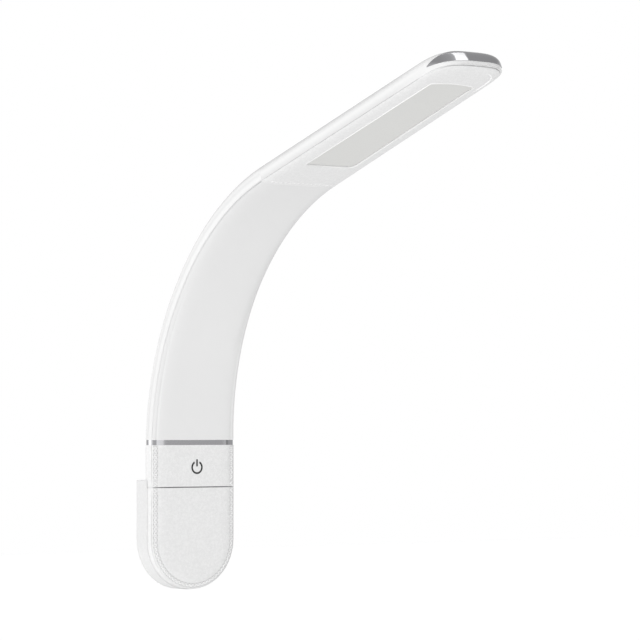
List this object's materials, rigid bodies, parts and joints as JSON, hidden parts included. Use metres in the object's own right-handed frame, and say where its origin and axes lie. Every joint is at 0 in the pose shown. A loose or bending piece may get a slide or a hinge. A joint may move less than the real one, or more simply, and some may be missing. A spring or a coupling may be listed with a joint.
{
  "type": "folding led desk lamp",
  "caption": "Slim rechargeable desk lamp: a flat bendable arm with a long light panel rises from a folding, leather-covered base with a touch control.",
  "frame": {"origin": "face of the back pad, at the middle of the round end of the base", "axes": "+X across the lamp, to the right seen from the front; -Y to the front, where the head reaches; +Z along the base towards the arm"},
  "size_m": [0.0608, 0.2937, 0.3007],
  "materials": {
    "leather": "fine grain, satin",
    "soft_sleeve": "smooth satin",
    "smooth_plastic": "satin gloss",
    "polished_metal": "polished",
    "steel": "brushed",
    "aluminium_plate": "plain",
    "pad_rubber": "matt",
    "cell_foil": "foil wrap",
    "board": "solder mask",
    "print_black": "printed",
    "copper_pad": "foil",
    "diffuser_milk": "milky, satin",
    "clear_guide": "clear",
    "white_film": "matt film",
    "led_yellow": "phosphor"
  },
  "bodies": {
    "base": {"base_front_cover": "leather", "base_middle_case": "leather", "base_back_block": "leather", "base_pad": "pad_rubber", "base_weight": "steel", "battery_cell": "cell_foil", "charge_board": "board", "charge_inlet": "steel", "base_screws": "steel", "fold_leaf_base": "steel", "fold_rod": "steel", "fold_screws_base": "steel", "fold_crease": "leather"},
    "stem": {"stem_front_cover": "leather", "stem_back_shell": "leather", "power_mark": "print_black", "touch_board": "board", "touch_pad": "copper_pad", "trim_ring": "polished_metal", "arm_anchor": "steel", "anchor_screws": "steel", "fold_leaf_stem": "steel", "fold_screws_stem": "steel", "link_pin_1": "steel"},
    "link_1": {"arm_link_1": "steel", "link_pin_2": "steel", "arm_sleeve_1": "soft_sleeve"},
    "link_2": {"arm_link_2": "steel", "link_pin_3": "steel", "arm_sleeve_2": "soft_sleeve"},
    "link_3": {"arm_link_3": "steel", "link_pin_4": "steel", "arm_sleeve_3": "soft_sleeve"},
    "link_4": {"arm_link_4": "steel", "link_pin_5": "steel", "arm_sleeve_4": "soft_sleeve"},
    "link_5": {"arm_link_5": "steel", "link_pin_6": "steel", "arm_sleeve_5": "soft_sleeve"},
    "link_6": {"arm_link_6": "steel", "link_pin_7": "steel", "arm_sleeve_6": "soft_sleeve"},
    "head": {"arm_sleeve_7": "soft_sleeve", "head_anchor": "steel", "head_back_shell": "smooth_plastic", "head_front_frame": "leather", "diffuser": "diffuser_milk", "light_guide": "clear_guide", "reflector": "white_film", "heat_plate": "aluminium_plate", "led_strips": "white_film", "led_chips": "led_yellow", "light_screws": "steel", "head_rivets": "steel", "tip_trim": "polished_metal"}
  },
  "joints": [
    {"name": "base_fold", "type": "hinge", "parent": "base", "child": "stem", "pos_m": [0, -0.0162, 0.032], "axis": [1, 0, 0], "range_deg": [0, 90], "deforming": ["fold_crease"]},
    {"name": "arm_bend_1", "type": "hinge", "parent": "stem", "child": "link_1", "pos_m": [0, -0.01376, 0.0738], "axis": [1, 0, 0], "range_deg": [-10.36, 5], "deforming": ["arm_sleeve_1"]},
    {"name": "arm_bend_2", "type": "hinge", "parent": "link_1", "child": "link_2", "pos_m": [0, -0.01903, 0.10262], "axis": [1, 0, 0], "range_deg": [-10.36, 5], "deforming": ["arm_sleeve_2"]},
    {"name": "arm_bend_3", "type": "hinge", "parent": "link_2", "child": "link_3", "pos_m": [0, -0.02939, 0.13003], "axis": [1, 0, 0], "range_deg": [-10.36, 5], "deforming": ["arm_sleeve_3"]},
    {"name": "arm_bend_4", "type": "hinge", "parent": "link_3", "child": "link_4", "pos_m": [0, -0.04451, 0.15512], "axis": [1, 0, 0], "range_deg": [-10.36, 5], "deforming": ["arm_sleeve_4"]},
    {"name": "arm_bend_5", "type": "hinge", "parent": "link_4", "child": "link_5", "pos_m": [0, -0.0639, 0.17709], "axis": [1, 0, 0], "range_deg": [-10.36, 5], "deforming": ["arm_sleeve_5"]},
    {"name": "arm_bend_6", "type": "hinge", "parent": "link_5", "child": "link_6", "pos_m": [0, -0.08692, 0.19521], "axis": [1, 0, 0], "range_deg": [-10.36, 5], "deforming": ["arm_sleeve_6"]},
    {"name": "arm_bend_7", "type": "hinge", "parent": "link_6", "child": "head", "pos_m": [0, -0.11282, 0.2089], "axis": [1, 0, 0], "range_deg": [-10.36, 5], "deforming": ["arm_sleeve_7"]}
  ],
  "couplings": [
    {"joint": "arm_bend_2", "follows": "arm_bend_1", "ratio": 1},
    {"joint": "arm_bend_3", "follows": "arm_bend_1", "ratio": 1},
    {"joint": "arm_bend_4", "follows": "arm_bend_1", "ratio": 1},
    {"joint": "arm_bend_6", "follows": "arm_bend_5", "ratio": 1},
    {"joint": "arm_bend_7", "follows": "arm_bend_5", "ratio": 1}
  ]
}
